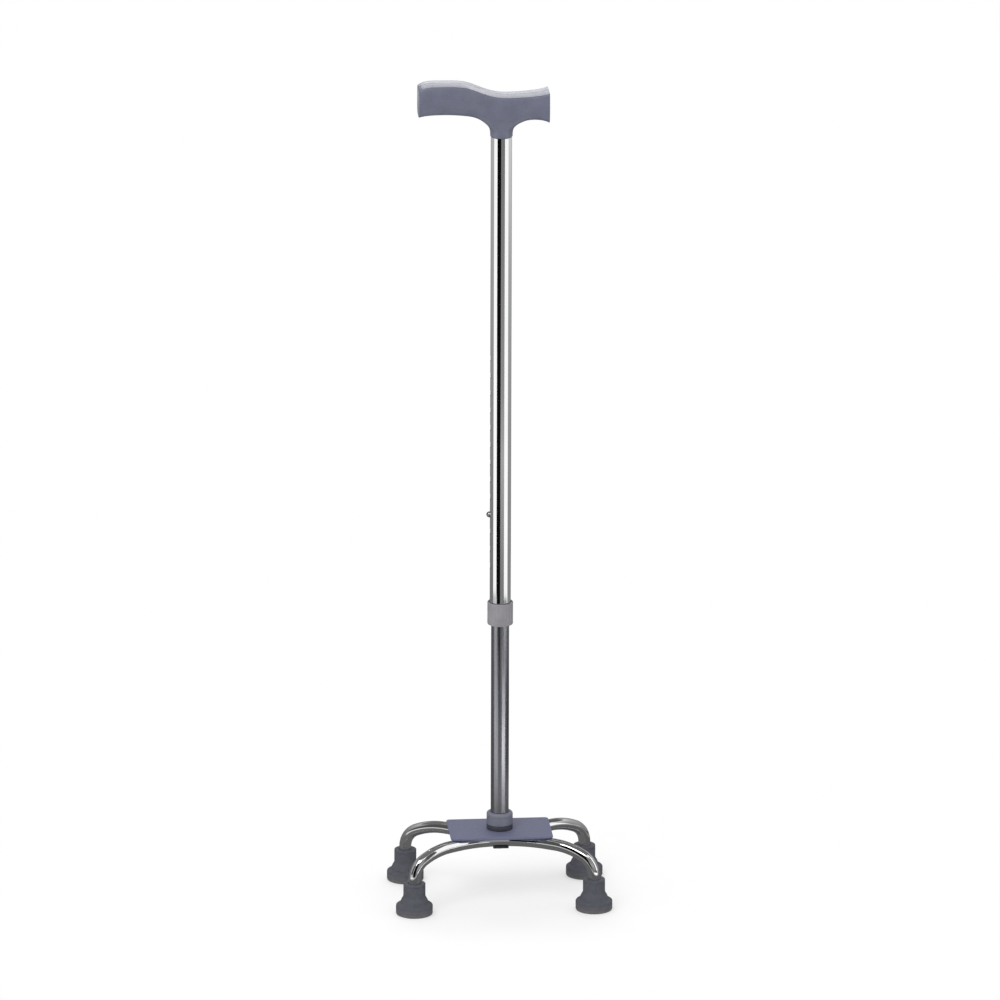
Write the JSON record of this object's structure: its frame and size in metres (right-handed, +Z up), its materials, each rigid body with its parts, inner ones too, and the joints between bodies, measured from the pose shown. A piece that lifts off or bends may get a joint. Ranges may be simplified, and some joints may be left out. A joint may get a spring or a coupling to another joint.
{
  "type": "quad cane",
  "caption": "Walking cane with a T-shaped handle, a telescoping shaft set by a snap button and lock ring, and a wide low base on splayed bent legs with rubber tips.",
  "frame": {"origin": "on the floor, under the axis of the shaft, in the middle of the four rubber tips", "axes": "+Z up along the shaft; -X towards the long arm of the handle and the snap button; +Y towards the rear pair of tips"},
  "size_m": [0.2288, 0.1538, 0.8962],
  "materials": {
    "handle_plastic": "moulded, soft sheen",
    "chrome_tube": "bright plated",
    "satin_tube": "satin grey",
    "ring_plastic": "moulded, ribbed band",
    "boss_plastic": "moulded",
    "seat_plastic": "moulded, dark",
    "plate_paint": "grey-blue coated",
    "white_nylon": "moulded",
    "plain_steel": "zinc plated",
    "saddle_steel": "dark plated",
    "spring_steel": "spring temper",
    "tip_rubber": "dull moulded"
  },
  "bodies": {
    "base": {"base_plate": "plate_paint", "front_leg_tube": "chrome_tube", "rear_leg_tube": "chrome_tube", "leg_saddle": "saddle_steel", "base_bolt": "saddle_steel", "base_seat": "seat_plastic", "base_boss": "boss_plastic", "lower_tube": "satin_tube", "tube_plug": "plain_steel", "tube_glide": "white_nylon", "snap_spring": "spring_steel", "tip_front_left": "tip_rubber", "tip_front_right": "tip_rubber", "tip_rear_left": "tip_rubber", "tip_rear_right": "tip_rubber", "disc_front_left": "plain_steel", "disc_front_right": "plain_steel", "disc_rear_left": "plain_steel", "disc_rear_right": "plain_steel"},
    "upper_section": {"upper_tube": "chrome_tube", "handle_grip": "handle_plastic", "handle_pin": "plain_steel", "lock_bush": "white_nylon"},
    "lock_ring": {"lock_ring": "ring_plastic"},
    "snap_button": {"snap_button": "plain_steel"}
  },
  "joints": [
    {"name": "height_slide", "type": "slide", "parent": "base", "child": "upper_section", "axis": [0, 0, 1], "range_m": [-0.17145, 0.05715]},
    {"name": "lock_ring_turn", "type": "hinge", "parent": "upper_section", "child": "lock_ring", "pos_m": [0, 0, 0.3126], "axis": [0, 0, 1], "range_deg": [-270, 0]},
    {"name": "button_press", "type": "slide", "parent": "base", "child": "snap_button", "axis": [1, 0, 0], "range_m": [0, 0.0052], "stiffness_N_per_m": 1500, "springref_m": -0.001, "deforming": ["snap_spring"]}
  ]
}
